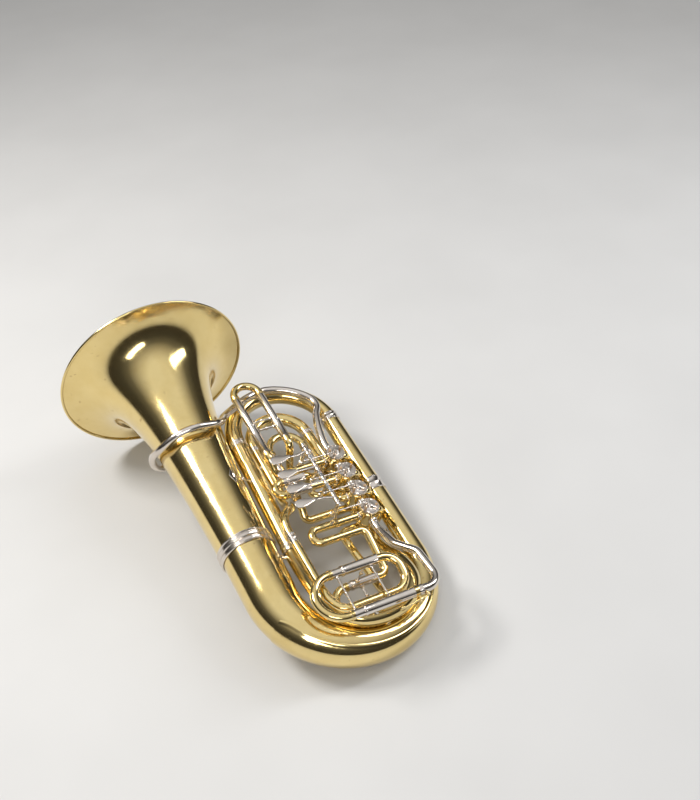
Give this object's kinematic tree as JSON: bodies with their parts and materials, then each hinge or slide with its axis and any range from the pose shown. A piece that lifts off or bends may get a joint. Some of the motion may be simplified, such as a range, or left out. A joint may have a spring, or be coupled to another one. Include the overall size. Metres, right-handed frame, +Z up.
{
  "type": "tuba",
  "caption": "Compact rotary-valve tuba lying on its back: flared brass bell, coiled branches, turning rotors with finger levers, pull-out tuning slides and a water key.",
  "frame": {"origin": "on the floor, under the centre of the bounding box, with the tuba lying on its back", "axes": "+Y towards the bell, +Z up towards the valve side, +X from the bell stem towards the valves"},
  "size_m": [0.4788, 0.764, 0.3688],
  "materials": {
    "lacquered_brass": "polished yellow brass under clear lacquer",
    "nickel_silver": "polished nickel silver, slightly warm and handled",
    "spring_steel": "bright steel with a light film of oil",
    "cork": "fine-grained cork"
  },
  "bodies": {
    "frame": {"bell": "lacquered_brass", "bell_stem": "lacquered_brass", "bell_rim_wire": "lacquered_brass", "bell_ferrule": "nickel_silver", "bottom_bow": "lacquered_brass", "bow_guard": "lacquered_brass", "branch_ferrules": "nickel_silver", "outer_branch": "lacquered_brass", "upper_bow": "lacquered_brass", "left_branch": "lacquered_brass", "inner_bottom_bow": "lacquered_brass", "inner_right_branch": "lacquered_brass", "inner_upper_bow": "lacquered_brass", "feed_branch": "lacquered_brass", "tuning_return": "lacquered_brass", "leadpipe": "nickel_silver", "mouthpiece_receiver": "nickel_silver", "valve_casings": "lacquered_brass", "bearing_plates": "nickel_silver", "valve_caps": "lacquered_brass", "valve_knuckles": "nickel_silver", "cork_bumpers": "cork", "slide_sleeves": "nickel_silver", "valve_tubes": "lacquered_brass", "exit_pipe": "nickel_silver", "branch_braces": "nickel_silver", "slide_braces": "nickel_silver", "hinge_rod": "spring_steel", "hinge_posts": "nickel_silver", "lever_springs": "spring_steel", "key_saddle": "lacquered_brass"},
    "lever_1": {"lever_1": "nickel_silver"},
    "lever_2": {"lever_2": "nickel_silver"},
    "lever_3": {"lever_3": "nickel_silver"},
    "lever_4": {"lever_4": "nickel_silver"},
    "link_1": {"link_1": "nickel_silver"},
    "link_2": {"link_2": "nickel_silver"},
    "link_3": {"link_3": "nickel_silver"},
    "link_4": {"link_4": "nickel_silver"},
    "valve_1": {"rotor_1": "spring_steel", "stop_arm_1": "nickel_silver"},
    "valve_2": {"rotor_2": "spring_steel", "stop_arm_2": "nickel_silver"},
    "valve_3": {"rotor_3": "spring_steel", "stop_arm_3": "nickel_silver"},
    "valve_4": {"rotor_4": "spring_steel", "stop_arm_4": "nickel_silver"},
    "slide_1": {"slide_1_legs": "nickel_silver", "slide_1_bow": "lacquered_brass"},
    "slide_2": {"slide_2_legs": "nickel_silver", "slide_2_bow": "lacquered_brass"},
    "slide_3": {"slide_3_legs": "nickel_silver", "slide_3_bow": "lacquered_brass"},
    "slide_4": {"slide_4_legs": "nickel_silver", "slide_4_bow": "lacquered_brass"},
    "main_slide": {"main_slide_legs": "nickel_silver", "main_slide_bow": "lacquered_brass"},
    "water_key_lever": {"water_key": "lacquered_brass", "water_key_pad": "cork"}
  },
  "joints": [
    {"name": "lever_1_press", "type": "hinge", "parent": "frame", "child": "lever_1", "pos_m": [0.10504, -0.02503, 0.18557], "axis": [-0.0279, -0.9836, -0.1783], "range_deg": [0, 18], "stiffness_Nm_per_rad": 0.3, "springref_deg": -28.65},
    {"name": "link_1_push", "type": "slide", "parent": "frame", "child": "link_1", "axis": [0.988, 0, -0.1547], "range_m": [0, 0.01041]},
    {"name": "valve_1_turn", "type": "hinge", "parent": "frame", "child": "valve_1", "pos_m": [0.16713, -0.00007, 0.11668], "axis": [0.1522, -0.1805, 0.9717], "range_deg": [0, 90]},
    {"name": "lever_2_press", "type": "hinge", "parent": "frame", "child": "lever_2", "pos_m": [0.10409, -0.05847, 0.17951], "axis": [-0.0279, -0.9836, -0.1783], "range_deg": [0, 18], "stiffness_Nm_per_rad": 0.3, "springref_deg": -28.65},
    {"name": "link_2_push", "type": "slide", "parent": "frame", "child": "link_2", "axis": [0.988, 0, -0.1547], "range_m": [0, 0.01041]},
    {"name": "valve_2_turn", "type": "hinge", "parent": "frame", "child": "valve_2", "pos_m": [0.16587, -0.04433, 0.10866], "axis": [0.1522, -0.1805, 0.9717], "range_deg": [0, 90]},
    {"name": "lever_3_press", "type": "hinge", "parent": "frame", "child": "lever_3", "pos_m": [0.10314, -0.09191, 0.17344], "axis": [-0.0279, -0.9836, -0.1783], "range_deg": [0, 18], "stiffness_Nm_per_rad": 0.3, "springref_deg": -28.65},
    {"name": "link_3_push", "type": "slide", "parent": "frame", "child": "link_3", "axis": [0.988, 0, -0.1547], "range_m": [0, 0.01041]},
    {"name": "valve_3_turn", "type": "hinge", "parent": "frame", "child": "valve_3", "pos_m": [0.16462, -0.08859, 0.10063], "axis": [-0.1522, 0.1805, -0.9717], "range_deg": [0, 90]},
    {"name": "lever_4_press", "type": "hinge", "parent": "frame", "child": "lever_4", "pos_m": [0.10219, -0.12535, 0.16738], "axis": [-0.0279, -0.9836, -0.1783], "range_deg": [0, 18], "stiffness_Nm_per_rad": 0.3, "springref_deg": -28.65},
    {"name": "link_4_push", "type": "slide", "parent": "frame", "child": "link_4", "axis": [0.988, 0, -0.1547], "range_m": [0, 0.01041]},
    {"name": "valve_4_turn", "type": "hinge", "parent": "frame", "child": "valve_4", "pos_m": [0.16336, -0.13285, 0.09261], "axis": [-0.1522, 0.1805, -0.9717], "range_deg": [0, 90]},
    {"name": "slide_1_pull", "type": "slide", "parent": "frame", "child": "slide_1", "axis": [0.0279, 0.9836, 0.1783], "range_m": [0, 0.028]},
    {"name": "slide_2_pull", "type": "slide", "parent": "frame", "child": "slide_2", "axis": [-0.988, 0, 0.1547], "range_m": [0, 0.022]},
    {"name": "slide_3_pull", "type": "slide", "parent": "frame", "child": "slide_3", "axis": [0.0279, 0.9836, 0.1783], "range_m": [0, 0.05]},
    {"name": "slide_4_pull", "type": "slide", "parent": "frame", "child": "slide_4", "axis": [-0.988, 0, 0.1547], "range_m": [0, 0.012]},
    {"name": "main_slide_pull", "type": "slide", "parent": "frame", "child": "main_slide", "axis": [-0.988, 0, 0.1547], "range_m": [0, 0.045]},
    {"name": "water_key_press", "type": "hinge", "parent": "frame", "child": "water_key_lever", "pos_m": [0.13482, -0.35849, 0.11073], "axis": [-0.1522, 0.1805, -0.9717], "range_deg": [0, 14], "stiffness_Nm_per_rad": 0.12, "springref_deg": -22.92}
  ],
  "couplings": [
    {"joint": "link_1_push", "follows": "lever_1_press", "m_per_rad": 0.033064},
    {"joint": "valve_1_turn", "follows": "lever_1_press", "ratio": 5},
    {"joint": "link_2_push", "follows": "lever_2_press", "m_per_rad": 0.033064},
    {"joint": "valve_2_turn", "follows": "lever_2_press", "ratio": 5},
    {"joint": "link_3_push", "follows": "lever_3_press", "m_per_rad": 0.033064},
    {"joint": "valve_3_turn", "follows": "lever_3_press", "ratio": 5},
    {"joint": "link_4_push", "follows": "lever_4_press", "m_per_rad": 0.033064},
    {"joint": "valve_4_turn", "follows": "lever_4_press", "ratio": 5}
  ]
}
